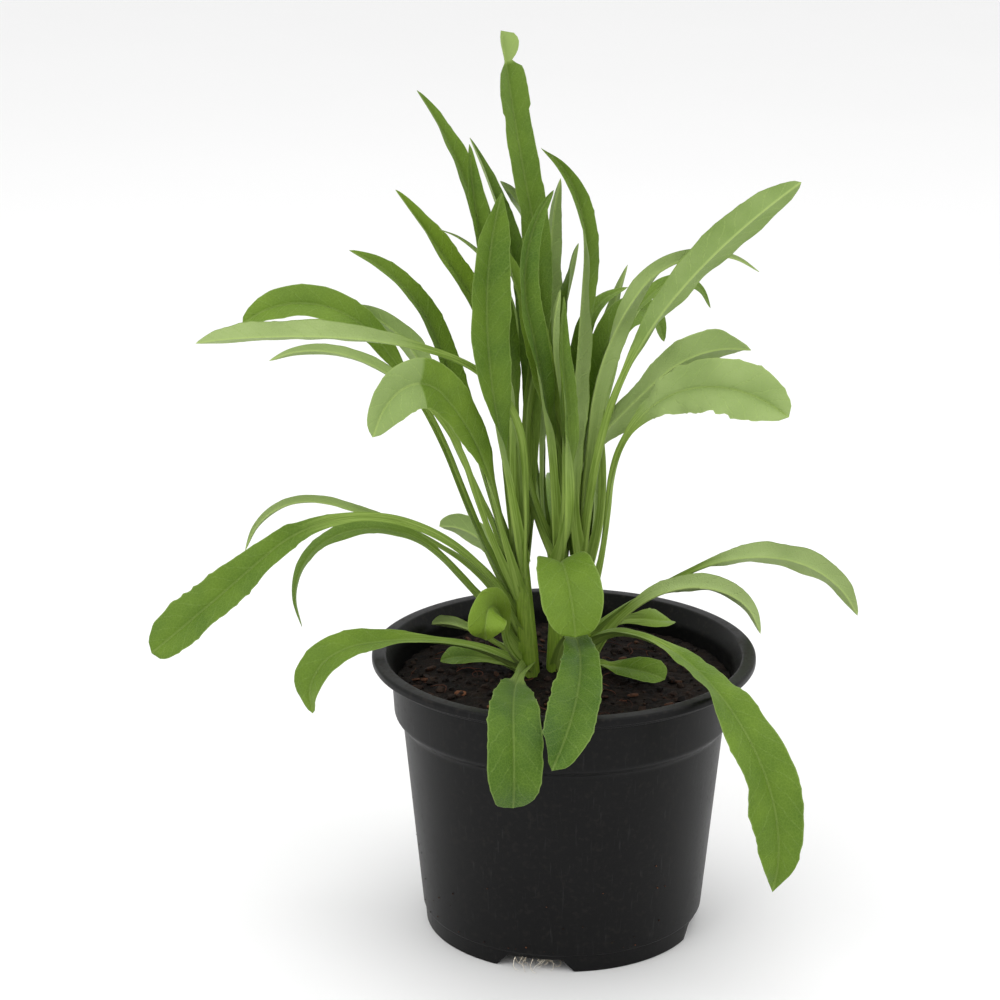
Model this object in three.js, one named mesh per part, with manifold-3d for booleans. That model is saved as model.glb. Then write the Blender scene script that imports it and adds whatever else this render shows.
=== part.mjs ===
// A young cornflower plant in a round 17 cm nursery pot. Millimetres, +Z up.
// The origin is on the pot's axis at the level that the pot stands on.
import * as THREE from 'three';
import { LoftGeometry } from 'three/addons/geometries/LoftGeometry.js';
import { mergeVertices } from 'three/addons/utils/BufferGeometryUtils.js';
import Module from 'manifold-3d';

// Pot
const RIM_RADIUS = 85;
const POT_HEIGHT = 127;
const RIM_WIDTH = 6;          // flat ring on top
const SKIRT = 3.5;            // height of the rim's outer edge
const STEP_UNDER_RIM = 2.5;
const COLLAR_RADIUS = 76.5;
const COLLAR_HEIGHT = 21.5;   // stacking band under the rim
const SHOULDER = 3.5;         // sloped step from the collar in to the wall
const WALL_TOP_RADIUS = 71.5;
const FOOT_RADIUS = 62.5;
const FOOT_HEIGHT = 8.5;
const FOOT_WIDTH = 3;
const FLOOR_UNDERSIDE = 6.8;
const WALL = 1.3;
const NOTCHES = 4;
const NOTCH = { bottom: 36, top: 25, height: 6.5, depth: 30, turn: 32.4 };
const DRAIN_HOLES = 8;
const DRAIN_RADIUS = 5;
const DRAIN_RING_RADIUS = 42; // the holes' centres
const DRAIN_DRILL = { length: 12, sides: 16 };

// Soil and gaps
const SOIL_TOP = 113;
const SOIL_UNEVEN = 1.1;
const SOIL_RINGS = [68, 55, 42, 28, 14, 0];   // radii of the top's rings
const GAP = 0.3;
const AROUND = 64;            // steps round the pot

// Plant
const PLANT_TURN = 45;        // degrees from the part's frame to the plant's own
const STALK_WIDTHS = [2.6, 4.2, 4, 3.2, 1];   // a leaf is never narrower, from foot to tip
const EDGE_THICKNESS = 0.5;
const RIB_THICKNESS = [1.2, 0.8];
const LEAF_STEP = 13;         // length of leaf to each cross-section
const STEPS_TO_SECTION = 8;   // the midrib is followed in finer steps than the sections
const STALK_ROWS = 8;
const STALK_SIDES = 10;

// Colours
const POT_BLACK = 0x1b1b1c;
const SOIL_BROWN = 0x2a1c17;
const STALK_GREEN = 0x76893a;
const LEAF_GREEN = 0x6f9440;
const LEAF_PALE = 0x93ad66;   // leaves whose underside faces out

const UPRIGHT = new THREE.Vector3(0, 0, 1);
const radians = THREE.MathUtils.degToRad;
const wasm = await Module();
wasm.setup();

function solidOf(geometry) {
  const bare = new THREE.BufferGeometry().copy(geometry);
  bare.deleteAttribute('normal');
  bare.deleteAttribute('uv');
  const merged = mergeVertices(bare, 1e-4);
  return new wasm.Manifold(new wasm.Mesh({
    numProp: 3,
    vertProperties: new Float32Array(merged.attributes.position.array),
    triVerts: new Uint32Array(merged.index.array),
  }));
}

function geometryOf(solid) {
  const { vertProperties, triVerts } = solid.getMesh();
  const geometry = new THREE.BufferGeometry();
  geometry.setAttribute('position', new THREE.BufferAttribute(vertProperties, 3));
  geometry.setIndex(new THREE.BufferAttribute(triVerts, 1));
  geometry.computeVertexNormals();
  return geometry;
}

function mesh(name, geometry, color, roughness) {
  const material = new THREE.MeshStandardMaterial({ color, roughness, metalness: 0 });
  const made = new THREE.Mesh(geometry, material);
  made.name = name;
  return made;
}

// A lathe turned about Z: the profile is [radius, height] pairs.
function turned(profile) {
  const points = profile.map(([radius, height]) => new THREE.Vector2(radius, height));
  return new THREE.LatheGeometry(points, AROUND).rotateX(Math.PI / 2);
}

// Heights that the pot and the soil share
const skirtBottom = POT_HEIGHT - SKIRT;
const collarTop = skirtBottom - STEP_UNDER_RIM;
const collarBottom = collarTop - COLLAR_HEIGHT;
const wallTop = collarBottom - SHOULDER;
const collarBottomRadius = COLLAR_RADIUS - 1.3;
const floorTop = FLOOR_UNDERSIDE + WALL;

// The pot: one thin moulding, with four trapezoid notches in its foot and drain holes in its floor.
function pot() {
  const outside = [
    [0, FLOOR_UNDERSIDE], [FOOT_RADIUS - FOOT_WIDTH - 0.6, FLOOR_UNDERSIDE],
    [FOOT_RADIUS - FOOT_WIDTH - 1, 0], [FOOT_RADIUS - 1, 0],
    [FOOT_RADIUS - 0.3, FOOT_HEIGHT - 0.6], [FOOT_RADIUS + 0.4, FOOT_HEIGHT],
    [WALL_TOP_RADIUS, wallTop], [collarBottomRadius, collarBottom],
    [COLLAR_RADIUS, collarTop - 0.6], [COLLAR_RADIUS + 0.8, collarTop],
    [RIM_RADIUS - 3.4, collarTop + 0.4], [RIM_RADIUS - 2.8, skirtBottom],
    [RIM_RADIUS - 0.4, skirtBottom], [RIM_RADIUS, skirtBottom + 0.5],
    [RIM_RADIUS, POT_HEIGHT - 1.2], [RIM_RADIUS - 0.5, POT_HEIGHT - 0.3],
    [RIM_RADIUS - 1.4, POT_HEIGHT],
  ];
  const inside = [
    [RIM_RADIUS - RIM_WIDTH, POT_HEIGHT], [RIM_RADIUS - RIM_WIDTH - 0.8, POT_HEIGHT - 0.7],
    [COLLAR_RADIUS - WALL, collarTop - 1], [collarBottomRadius - WALL, collarBottom + 0.4],
    [WALL_TOP_RADIUS - WALL, wallTop + 0.2], [FOOT_RADIUS + 0.4 - WALL, floorTop], [0, floorTop],
  ];
  let body = solidOf(turned([...outside, ...inside]));
  const trapezoid = new THREE.Shape([
    new THREE.Vector2(-NOTCH.bottom / 2, -1), new THREE.Vector2(NOTCH.bottom / 2, -1),
    new THREE.Vector2(NOTCH.top / 2, NOTCH.height), new THREE.Vector2(-NOTCH.top / 2, NOTCH.height),
  ]);
  const quarter = Math.PI / 2;
  for (let side = 0; side < NOTCHES; side++) {
    const cutter = new THREE.ExtrudeGeometry(trapezoid, { depth: NOTCH.depth, bevelEnabled: false });
    cutter.rotateX(quarter).rotateZ(quarter).translate(FOOT_RADIUS - NOTCH.depth / 2, 0, 0);
    cutter.rotateZ(radians(NOTCH.turn) + (side / NOTCHES) * 2 * Math.PI);
    body = body.subtract(solidOf(cutter));
  }
  for (let hole = 0; hole < DRAIN_HOLES; hole++) {
    const drill = new THREE.CylinderGeometry(
      DRAIN_RADIUS, DRAIN_RADIUS, DRAIN_DRILL.length, DRAIN_DRILL.sides).rotateX(quarter);
    drill.translate(DRAIN_RING_RADIUS, 0, floorTop - 2);
    drill.rotateZ((hole / DRAIN_HOLES) * 2 * Math.PI + radians(NOTCH.turn));
    body = body.subtract(solidOf(drill));
  }
  return mesh('pot', geometryOf(body), POT_BLACK, 0.55);
}

// The shoots: each is an upright stalk given by points on its axis and its radius at foot and top.
const SHOOTS = {
  left: {
    axis: [[-15, 10, 104], [-16.1, 10, 127], [-17.7, 10, 150], [-19.2, 10, 173]],
    radii: [4.6, 2.6],
  },
  middle: {
    axis: [[-3.5, 14, 104], [-3.1, 14, 127], [-2.8, 14, 150], [-2.5, 14, 173]],
    radii: [4, 2.3],
  },
  right: {
    axis: [[10.5, 17, 104], [9.4, 17, 127], [8, 17.6, 150], [7, 18, 173]],
    radii: [3.6, 2.2],
  },
};
for (const shoot of Object.values(SHOOTS)) {
  shoot.curve = new THREE.CatmullRomCurve3(shoot.axis.map((point) => new THREE.Vector3(...point)));
  shoot.foot = shoot.axis[0][2];
  shoot.top = shoot.axis.at(-1)[2];
}

function shootAt(shoot, height) {
  const share = (height - shoot.foot) / (shoot.top - shoot.foot);
  const centre = shoot.curve.getPoint(share).setZ(height);
  return { centre, radius: THREE.MathUtils.lerp(...shoot.radii, share) };
}

function stalkGeometry(shoot, extra = 0) {
  const sections = [];
  for (let row = 0; row <= STALK_ROWS; row++) {
    const height = THREE.MathUtils.lerp(shoot.foot, shoot.top, row / STALK_ROWS);
    const { centre, radius } = shootAt(shoot, height);
    const section = [];
    for (let step = 0; step < STALK_SIDES; step++) {
      const angle = (step / STALK_SIDES) * 2 * Math.PI;
      const reach = new THREE.Vector3(radius + extra, 0, 0).applyAxisAngle(UPRIGHT, angle);
      section.push(centre.clone().add(reach));
    }
    sections.push(section);
  }
  sections[0].forEach((point) => { point.z -= extra; });
  return new LoftGeometry(sections, { capStart: true, capEnd: true });
}

// The root ball, rough on top, with a socket for each shoot.
function soil() {
  const profile = [
    [0, floorTop + GAP], [FOOT_RADIUS + 0.3 - WALL - GAP, floorTop + GAP],
    [WALL_TOP_RADIUS - WALL - GAP, wallTop],
    [collarBottomRadius - WALL - GAP - 0.3, collarBottom + 0.4],
    [COLLAR_RADIUS - WALL - GAP - 0.5, SOIL_TOP - 2],
    ...SOIL_RINGS.map((radius) => [radius, SOIL_TOP]),
  ];
  const lathe = turned(profile);
  const place = lathe.attributes.position;
  for (let i = 0; i < place.count; i++) {
    if (place.getZ(i) < SOIL_TOP - 0.5) continue;
    const [x, y] = [place.getX(i), place.getY(i)];
    const lumps = Math.sin(x * 0.13 + 1) * Math.cos(y * 0.11) + 0.6 * Math.sin(x * 0.31 - y * 0.27);
    place.setZ(i, SOIL_TOP + SOIL_UNEVEN * lumps);
  }
  let ball = solidOf(lathe);
  for (const shoot of Object.values(SHOOTS)) {
    const socket = stalkGeometry(shoot, GAP).rotateZ(radians(PLANT_TURN));
    ball = ball.subtract(solidOf(socket));
  }
  return mesh('soil', geometryOf(ball), SOIL_BROWN, 0.95);
}

// A value along a leaf: the listed ones are evenly spaced from its foot to its tip.
function along(values, share) {
  const place = share * (values.length - 1);
  const before = Math.min(Math.floor(place), values.length - 2);
  return THREE.MathUtils.lerp(values[before], values[before + 1], place - before);
}

// The share of its full width that a blade has: it swells slowly, then closes to its tip.
function blade(share, { from, swell, close }) {
  const t = THREE.MathUtils.clamp((share - from) / (1 - from), 0, 1);
  const fullest = swell / (swell + close);
  return (t ** swell * (1 - t) ** close) / (fullest ** swell * (1 - fullest) ** close);
}

// Directions at a point of a leaf: along it, across it, and out of its upper face.
function leafAxes(turn, lift, roll) {
  const ahead = new THREE.Vector3(
    Math.cos(lift) * Math.cos(turn), Math.cos(lift) * Math.sin(turn), Math.sin(lift));
  const across = new THREE.Vector3(-Math.sin(turn), Math.cos(turn), 0).applyAxisAngle(ahead, roll);
  const up = new THREE.Vector3().crossVectors(ahead, across);
  return { ahead, across, up };
}

// A leaf springs from its shoot at height `at` and keeps its length and full width. `turn` is its
// heading seen from above, `lift` its slope and `roll` its twist, in degrees, from foot to tip.
// `from` is the share of its length that is stalk, and `fold` how far its halves rise to a trough.
const SHAPE = { fold: [12, 12], color: LEAF_GREEN };
function leaf(name, shoot, dimensions) {
  const shape = { ...SHAPE, ...dimensions };
  const { at, length, width, turn, lift, roll, fold } = shape;
  const { centre, radius } = shootAt(shoot, at);
  const outward = leafAxes(radians(turn[0]), 0, 0).ahead;
  const spine = centre.addScaledVector(outward, radius + GAP + RIB_THICKNESS[0] / 2);
  const rows = Math.max(8, Math.round(length / LEAF_STEP));
  const sections = [];
  for (let row = 0; row <= rows; row++) {
    const share = row / rows;
    const { across, up } = leafAxes(...[turn, lift, roll].map((values) => radians(along(values, share))));
    const stalk = along(STALK_WIDTHS, share);
    const half = Math.max(width * blade(share, shape), Math.min(stalk, 0.6 * width)) / 2;
    const rise = radians(along(fold, share));
    const rib = THREE.MathUtils.lerp(...RIB_THICKNESS, share) / 2;
    const edge = EDGE_THICKNESS / 2;
    const [out, lifted] = [half * Math.cos(rise), half * Math.sin(rise)];
    const corners = [
      [out, lifted - edge], [out, lifted + edge], [0, rib],
      [-out, lifted + edge], [-out, lifted - edge], [0, -rib],
    ];
    sections.push(corners.map(([sideways, raised]) => (
      spine.clone().addScaledVector(across, sideways).addScaledVector(up, raised))));
    for (let step = 0; step < STEPS_TO_SECTION; step++) {
      const middle = Math.min((row + (step + 0.5) / STEPS_TO_SECTION) / rows, 1);
      const { ahead } = leafAxes(radians(along(turn, middle)), radians(along(lift, middle)), 0);
      spine.addScaledVector(ahead, length / rows / STEPS_TO_SECTION);
    }
  }
  return mesh(name, new LoftGeometry(sections, { capStart: true, capEnd: true }), shape.color, 0.6);
}

const leaves = [
  // The left shoot's leaves, which face left and to the front
  leaf('leaf_left_broad_front', SHOOTS.left, {
    at: 165, length: 172, width: 20, from: 0.12, swell: 1.3, close: 0.7,
    turn: [-112, -172], lift: [80, 74, 88, 105], roll: [26, -92, -80],
  }),
  leaf('leaf_left_fold_left', SHOOTS.left, {
    at: 153, length: 163, width: 22, from: 0.18, swell: 1.3, close: 0.5,
    turn: [-147, -123], lift: [79, 71, 43, -65], roll: [-10, -94, -59],
  }),
  leaf('leaf_left_upper_left', SHOOTS.left, {
    at: 166, length: 180, width: 13, from: 0.14, swell: 1.2, close: 0.65,
    turn: [103, 213], lift: [57, 93, 57, 53], roll: [-25, -36, -48],
  }),
  leaf('leaf_left_top_left', SHOOTS.left, {
    at: 169, length: 210, width: 13, from: 0.12, swell: 1.2, close: 0.6,
    turn: [127, 173], lift: [89, 83, 76, 55], roll: [-9, -31, -18],
  }),
  leaf('leaf_left_top_mid', SHOOTS.left, {
    at: 170, length: 183, width: 12, from: 0.14, swell: 1.1, close: 0.7,
    turn: [-157, -198], lift: [90, 89, 74, 88], roll: [2, -35, -48],
  }),
  leaf('leaf_left_dark_back', SHOOTS.left, {
    at: 161, length: 194, width: 13, from: 0.14, swell: 1.1, close: 0.8,
    turn: [58, 192], lift: [76, 83, 76, 66], roll: [-7, -12, -24],
  }),
  leaf('leaf_left_arch_left', SHOOTS.left, {
    at: 157, length: 168, width: 13, from: 0.12, swell: 1.2, close: 0.7,
    turn: [143, 188], lift: [70, 71, 69, 24], roll: [25, -33, -37],
  }),
  leaf('leaf_left_level_left', SHOOTS.left, {
    at: 163, length: 232, width: 15, from: 0.5, swell: 0.9, close: 0.7, color: LEAF_PALE,
    turn: [-71, -153, -175, -219], lift: [92, 80, 22, -1, -16], roll: [13, 43, 56],
  }),
  leaf('leaf_left_spoon_left', SHOOTS.left, {
    at: 142, length: 203, width: 17, from: 0.5, swell: 1.1, close: 0.5,
    turn: [151, 175], lift: [58, 68, 49, -40], roll: [6, -36, -52],
  }),
  leaf('leaf_left_pale_behind', SHOOTS.left, {
    at: 145, length: 162, width: 13, from: 0.3, swell: 1.3, close: 0.8, color: LEAF_PALE,
    turn: [139, 168], lift: [75, 57, 68, 2], roll: [-1, 63, 82],
  }),
  leaf('leaf_left_thin_left', SHOOTS.left, {
    at: 151, length: 178, width: 8, from: 0.4, swell: 1.2, close: 0.9,
    turn: [-175, -211], lift: [68, 72, 25, -29], roll: [-12, 57, 66],
  }),
  leaf('leaf_left_long_low', SHOOTS.left, {
    at: 136, length: 204, width: 22, from: 0.28, swell: 1.9, close: 0.35,
    turn: [-172, -172], lift: [70, 23, -41, -39], roll: [-21, -60, -43],
  }),
  leaf('leaf_left_thin_low', SHOOTS.left, {
    at: 134, length: 158, width: 8, from: 0.24, swell: 1, close: 0.9, color: LEAF_PALE,
    turn: [164, 165], lift: [65, 23, 9, -75], roll: [-21, 51, 39],
  }),
  leaf('leaf_left_hook_low', SHOOTS.left, {
    at: 128, length: 154, width: 10, from: 0.24, swell: 1, close: 0.9,
    turn: [-175, -196], lift: [54, 46, -26, -113], roll: [-10, -25, -47],
  }),
  leaf('leaf_left_rim_left', SHOOTS.left, {
    at: 119, length: 116, width: 18, from: 0.28, swell: 1.1, close: 0.5,
    turn: [-174, -157], lift: [24, 9, -8, -110], roll: [-18, -22, -36],
  }),
  leaf('leaf_left_pale_low', SHOOTS.left, {
    at: 136, length: 72, width: 14, from: 0.18, swell: 1.3, close: 0.5, color: LEAF_PALE,
    turn: [110, 145], lift: [24, 53, 16, -14], roll: [-4, 102, 62],
  }),
  leaf('leaf_left_small_fold', SHOOTS.left, {
    at: 120, length: 64, width: 18, from: 0.18, swell: 1.1, close: 0.45,
    turn: [-136, -95], lift: [37, 79, 15, -146], roll: [-53, -109, 10],
  }),
  leaf('leaf_left_small_back', SHOOTS.left, {
    at: 121, length: 52, width: 9, from: 0.24, swell: 1.4, close: 0.5,
    turn: [141, 141], lift: [6, 12, 1, -21], roll: [-1, 68, 55],
  }),
  leaf('leaf_left_soil_left', SHOOTS.left, {
    at: 117, length: 35, width: 11, from: 0.21, swell: 1.3, close: 0.5,
    turn: [170, 179], lift: [-7, 10, 2, -25], roll: [-23, -29, -26],
  }),
  leaf('leaf_left_front_drop', SHOOTS.left, {
    at: 121, length: 136, width: 24, from: 0.19, swell: 1.2, close: 0.45,
    turn: [-98, -86], lift: [1, 13, -9, -132], roll: [-11, -10, -5],
  }),
  // The middle shoot's leaves, which face up and to the front
  leaf('leaf_middle_tallest', SHOOTS.middle, {
    at: 169, length: 233, width: 15, from: 0.08, swell: 1.2, close: 0.35,
    turn: [173, 189], lift: [65, 101, 79, 82], roll: [-6, -77, -46],
  }),
  leaf('leaf_middle_front_mid', SHOOTS.middle, {
    at: 170, length: 172, width: 12, from: 0.1, swell: 1.1, close: 0.8,
    turn: [-126, -127], lift: [94, 77, 71, 150], roll: [3, -97, -125],
  }),
  leaf('leaf_middle_back_mid', SHOOTS.middle, {
    at: 168, length: 171, width: 12, from: 0.1, swell: 1.1, close: 0.8,
    turn: [98, 107], lift: [74, 82, 86, 124], roll: [-15, 127, 118],
  }),
  leaf('leaf_middle_cross', SHOOTS.middle, {
    at: 172, length: 152, width: 13, from: 0.16, swell: 1.3, close: 0.8,
    turn: [167, 222], lift: [114, 76, 72, 62], roll: [4, -112, -25],
  }),
  leaf('leaf_middle_blunt', SHOOTS.middle, {
    at: 165, length: 149, width: 12, from: 0.12, swell: 1.4, close: 0.45,
    turn: [79, -82], lift: [58, 105, 81, 60], roll: [-14, 81, 64],
  }),
  leaf('leaf_middle_slim_front', SHOOTS.middle, {
    at: 165, length: 126, width: 9, from: 0.1, swell: 1.1, close: 0.8,
    turn: [-67, -141], lift: [60, 93, 75, 99], roll: [25, -118, -90],
  }),
  leaf('leaf_middle_slim_back', SHOOTS.middle, {
    at: 170, length: 121, width: 8, from: 0.12, swell: 1.1, close: 0.8,
    turn: [-57, -183], lift: [81, 90, 75, 105], roll: [1, -110, 80],
  }),
  leaf('leaf_middle_pale_back', SHOOTS.middle, {
    at: 157, length: 148, width: 12, from: 0.12, swell: 1.2, close: 0.7, color: LEAF_PALE,
    turn: [111, 138], lift: [60, 89, 72, 84], roll: [28, 68, 114],
  }),
  leaf('leaf_middle_pale_top', SHOOTS.middle, {
    at: 150, length: 208, width: 13, from: 0.14, swell: 1.2, close: 0.8, color: LEAF_PALE,
    turn: [70, 260], lift: [49, 80, 91, 19], roll: [-21, 31, -6],
  }),
  leaf('leaf_middle_hair_left', SHOOTS.middle, {
    at: 152, length: 184, width: 5, from: 0.24, swell: 1, close: 0.9,
    turn: [102, 231], lift: [56, 85, 77, 19], roll: [10, 27, 23],
  }),
  leaf('leaf_middle_pale_mid', SHOOTS.middle, {
    at: 161, length: 92, width: 12, from: 0.1, swell: 1.2, close: 0.8, color: LEAF_PALE,
    turn: [71, 49], lift: [31, 86, 94, 74], roll: [-64, -35, -86],
  }),
  leaf('leaf_middle_curl_front', SHOOTS.middle, {
    at: 117, length: 139, width: 22, from: 0.1, swell: 1.2, close: 0.45,
    turn: [-71, -112], lift: [68, -2, -17, -25], roll: [27, 5, -22],
  }),
  leaf('leaf_middle_round_front', SHOOTS.middle, {
    at: 142, length: 80, width: 28, from: 0.13, swell: 1.1, close: 0.45,
    turn: [-92, -72], lift: [78, 50, -35, -80], roll: [0, 5, 10],
  }),
  leaf('leaf_middle_back_arch', SHOOTS.middle, {
    at: 127, length: 149, width: 20, from: 0.21, swell: 1.2, close: 0.8,
    turn: [88, 81], lift: [78, 35, -11, -57], roll: [0, 0, 0],
  }),
  // The right shoot's leaves, which face right and to the back
  leaf('leaf_right_sickle', SHOOTS.right, {
    at: 162, length: 204, width: 13, from: 0.06, swell: 1, close: 0.9,
    turn: [-111, -132], lift: [69, 100, 95, 28], roll: [-23, -55, -127],
  }),
  leaf('leaf_right_dark_hook', SHOOTS.right, {
    at: 168, length: 129, width: 11, from: 0.12, swell: 1.2, close: 0.8,
    turn: [84, 30], lift: [86, 90, 93, 4], roll: [7, -22, 30],
  }),
  leaf('leaf_right_spike', SHOOTS.right, {
    at: 154, length: 142, width: 12, from: 0.06, swell: 1, close: 0.9,
    turn: [98, 12], lift: [82, 65, 80, 69], roll: [-18, -104, -69],
  }),
  leaf('leaf_right_long_right', SHOOTS.right, {
    at: 158, length: 215, width: 18, from: 0.42, swell: 1.2, close: 0.6, color: LEAF_PALE,
    turn: [-71, 9], lift: [82, 73, 52, 35], roll: [6, -28, -85],
  }),
  leaf('leaf_right_ribbed', SHOOTS.right, {
    at: 171, length: 183, width: 10, from: 0.06, swell: 1, close: 0.9, color: LEAF_PALE,
    turn: [-76, 22], lift: [84, 82, 58, -40], roll: [-26, -113, 1],
  }),
  leaf('leaf_right_back_droop', SHOOTS.right, {
    at: 153, length: 161, width: 15, from: 0.27, swell: 1.3, close: 0.7,
    turn: [60, 45], lift: [73, 95, 63, -81], roll: [-17, -23, 101],
  }),
  leaf('leaf_right_back_thin', SHOOTS.right, {
    at: 157, length: 179, width: 9, from: 0.24, swell: 1.1, close: 0.9,
    turn: [1, 52], lift: [74, 95, 54, -64], roll: [-23, -91, 113],
  }),
  leaf('leaf_right_pair_upper', SHOOTS.right, {
    at: 172, length: 145, width: 18, from: 0.12, swell: 1.1, close: 0.5, color: LEAF_PALE,
    turn: [-22, -37], lift: [122, 50, 44, 1], roll: [-6, -103, -50],
  }),
  leaf('leaf_right_pair_lower', SHOOTS.right, {
    at: 139, length: 182, width: 25, from: 0.52, swell: 0.8, close: 0.35, color: LEAF_PALE,
    turn: [-41, -36], lift: [75, 84, 29, -29], roll: [13, 81, 53],
  }),
  leaf('leaf_right_pale_upright', SHOOTS.right, {
    at: 146, length: 84, width: 9, from: 0.06, swell: 1.1, close: 0.8, color: LEAF_PALE,
    turn: [68, 38], lift: [67, 72, 94, 105], roll: [1, -93, -94],
  }),
  leaf('leaf_right_soil_upper', SHOOTS.right, {
    at: 127, length: 47, width: 12, from: 0.24, swell: 1.5, close: 0.4,
    turn: [27, 41], lift: [32, 0, -18, -13], roll: [-4, 61, 4],
  }),
  leaf('leaf_right_soil_lower', SHOOTS.right, {
    at: 118, length: 40, width: 15, from: 0.12, swell: 1.1, close: 0.45,
    turn: [-44, -30], lift: [-17, 8, 2, -15], roll: [6, 23, 21],
  }),
  leaf('leaf_right_long_drop', SHOOTS.right, {
    at: 127, length: 188, width: 25, from: 0.2, swell: 1.3, close: 0.7,
    turn: [-56, -48], lift: [32, -9, -50, -107], roll: [14, 0, 42],
  }),
  leaf('leaf_right_arch_right', SHOOTS.right, {
    at: 130, length: 148, width: 16, from: 0.33, swell: 1, close: 0.8, color: LEAF_PALE,
    turn: [19, 14], lift: [31, 21, -15, -65], roll: [-8, -64, -46],
  }),
  leaf('leaf_right_arch_low', SHOOTS.right, {
    at: 118, length: 105, width: 12, from: 0.21, swell: 0.9, close: 0.9, color: LEAF_PALE,
    turn: [-10, 32], lift: [70, 31, -20, -73], roll: [-19, -68, -37],
  }),
  leaf('leaf_right_back_long', SHOOTS.right, {
    at: 137, length: 140, width: 18, from: 0.21, swell: 1.2, close: 0.8,
    turn: [86, 84], lift: [74, 57, 12, -40], roll: [-10, -29, -6],
  }),
];

const plant = new THREE.Group();
plant.rotation.z = radians(PLANT_TURN);
for (const [side, shoot] of Object.entries(SHOOTS)) {
  plant.add(mesh(`shoot_${side}`, stalkGeometry(shoot), STALK_GREEN, 0.6));
}
plant.add(...leaves);

const group = new THREE.Group();
group.add(pot(), soil(), plant);
export default group;
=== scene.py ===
# A young cornflower plant in a round black nursery pot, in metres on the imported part's frame.
import math
import random

import bpy
import numpy as np
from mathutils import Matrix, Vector, noise


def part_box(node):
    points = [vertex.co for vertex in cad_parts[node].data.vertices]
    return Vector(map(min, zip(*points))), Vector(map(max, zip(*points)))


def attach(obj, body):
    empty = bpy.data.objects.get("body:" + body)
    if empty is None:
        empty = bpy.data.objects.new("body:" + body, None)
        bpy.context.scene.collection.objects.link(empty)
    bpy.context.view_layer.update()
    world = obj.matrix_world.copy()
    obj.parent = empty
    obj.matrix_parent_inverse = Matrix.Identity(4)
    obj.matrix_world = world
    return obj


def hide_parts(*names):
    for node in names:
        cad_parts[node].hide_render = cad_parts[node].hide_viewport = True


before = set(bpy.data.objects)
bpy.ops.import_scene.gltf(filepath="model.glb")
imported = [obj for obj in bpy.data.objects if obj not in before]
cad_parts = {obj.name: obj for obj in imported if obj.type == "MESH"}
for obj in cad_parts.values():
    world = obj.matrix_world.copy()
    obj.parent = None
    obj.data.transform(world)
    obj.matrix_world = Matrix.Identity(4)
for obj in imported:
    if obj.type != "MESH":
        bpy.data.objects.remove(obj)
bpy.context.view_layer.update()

MM = 0.001


# ------------------------------------------------------------------------------------------------
# Nursery pot: a thin injection moulding in black polypropylene, matt outside. It has a flat rim, a
# stacking collar, a tapered wall, and a floor raised on a foot ring with four notches.

def add_node(tree, kind, inputs=None, **settings):
    """Adds a shader node; each input is a value or another node's output."""
    made = tree.nodes.new(kind)
    for setting, value in settings.items():
        setattr(made, setting, value)
    for socket, value in (inputs or {}).items():
        if isinstance(value, bpy.types.NodeSocket):
            tree.links.new(value, made.inputs[socket])
        else:
            made.inputs[socket].default_value = value
    return made


def math_node(tree, operation, first, second=0.0, clamp=False):
    """The result of a sum on values or sockets."""
    return add_node(tree, "ShaderNodeMath", {0: first, 1: second},
                    operation=operation, use_clamp=clamp).outputs[0]


def stretch(tree, value, low, high):
    """Maps low..high to 0..1, with soft ends."""
    return add_node(tree, "ShaderNodeMapRange",
                    {"Value": value, "From Min": low, "From Max": high},
                    interpolation_type="SMOOTHSTEP").outputs[0]


def mix_colour(tree, amount, first, second):
    """A colour between first and second, where amount goes from 0 to 1."""
    made = add_node(tree, "ShaderNodeMix", data_type="RGBA")
    for socket, value in ((0, amount), (6, first), (7, second)):
        if isinstance(value, bpy.types.NodeSocket):
            tree.links.new(value, made.inputs[socket])
        else:
            made.inputs[socket].default_value = value
    return made.outputs[2]


def own_place(tree):
    """Coordinates fixed to the object."""
    return add_node(tree, "ShaderNodeTexCoord").outputs["Object"]


def cloud(tree, place, scale, detail):
    """Noise from 0 to 1 over a place."""
    return add_node(tree, "ShaderNodeTexNoise",
                    {"Vector": place, "Scale": scale, "Detail": detail}).outputs["Fac"]


def new_group(name, inputs, outputs):
    """An empty node group with its named sockets."""
    tree = bpy.data.node_groups.new(name, "ShaderNodeTree")
    for label, value in inputs.items():
        socket = tree.interface.new_socket(label, in_out="INPUT", socket_type="NodeSocketFloat")
        socket.default_value = value
    for label in outputs:
        tree.interface.new_socket(label, in_out="OUTPUT", socket_type="NodeSocketFloat")
    return tree, tree.nodes.new("NodeGroupInput"), tree.nodes.new("NodeGroupOutput")


def use_group(tree, group, inputs):
    """Places a node group in a material, with its own values."""
    made = tree.nodes.new("ShaderNodeGroup")
    made.node_tree = group
    for label, value in inputs.items():
        made.inputs[label].default_value = value
    return made.outputs


def grain_group():
    """Noise fixed to the object: broad patches and fine grain."""
    tree, given, result = new_group(
        "Grain", {"Patch Scale": 20.0, "Grain Scale": 900.0}, ["Patches", "Grain"])
    place = own_place(tree)
    patches = cloud(tree, place, given.outputs["Patch Scale"], 4.0)
    grain = cloud(tree, place, given.outputs["Grain Scale"], 3.0)
    tree.links.new(patches, result.inputs["Patches"])
    tree.links.new(grain, result.inputs["Grain"])
    return tree


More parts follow.
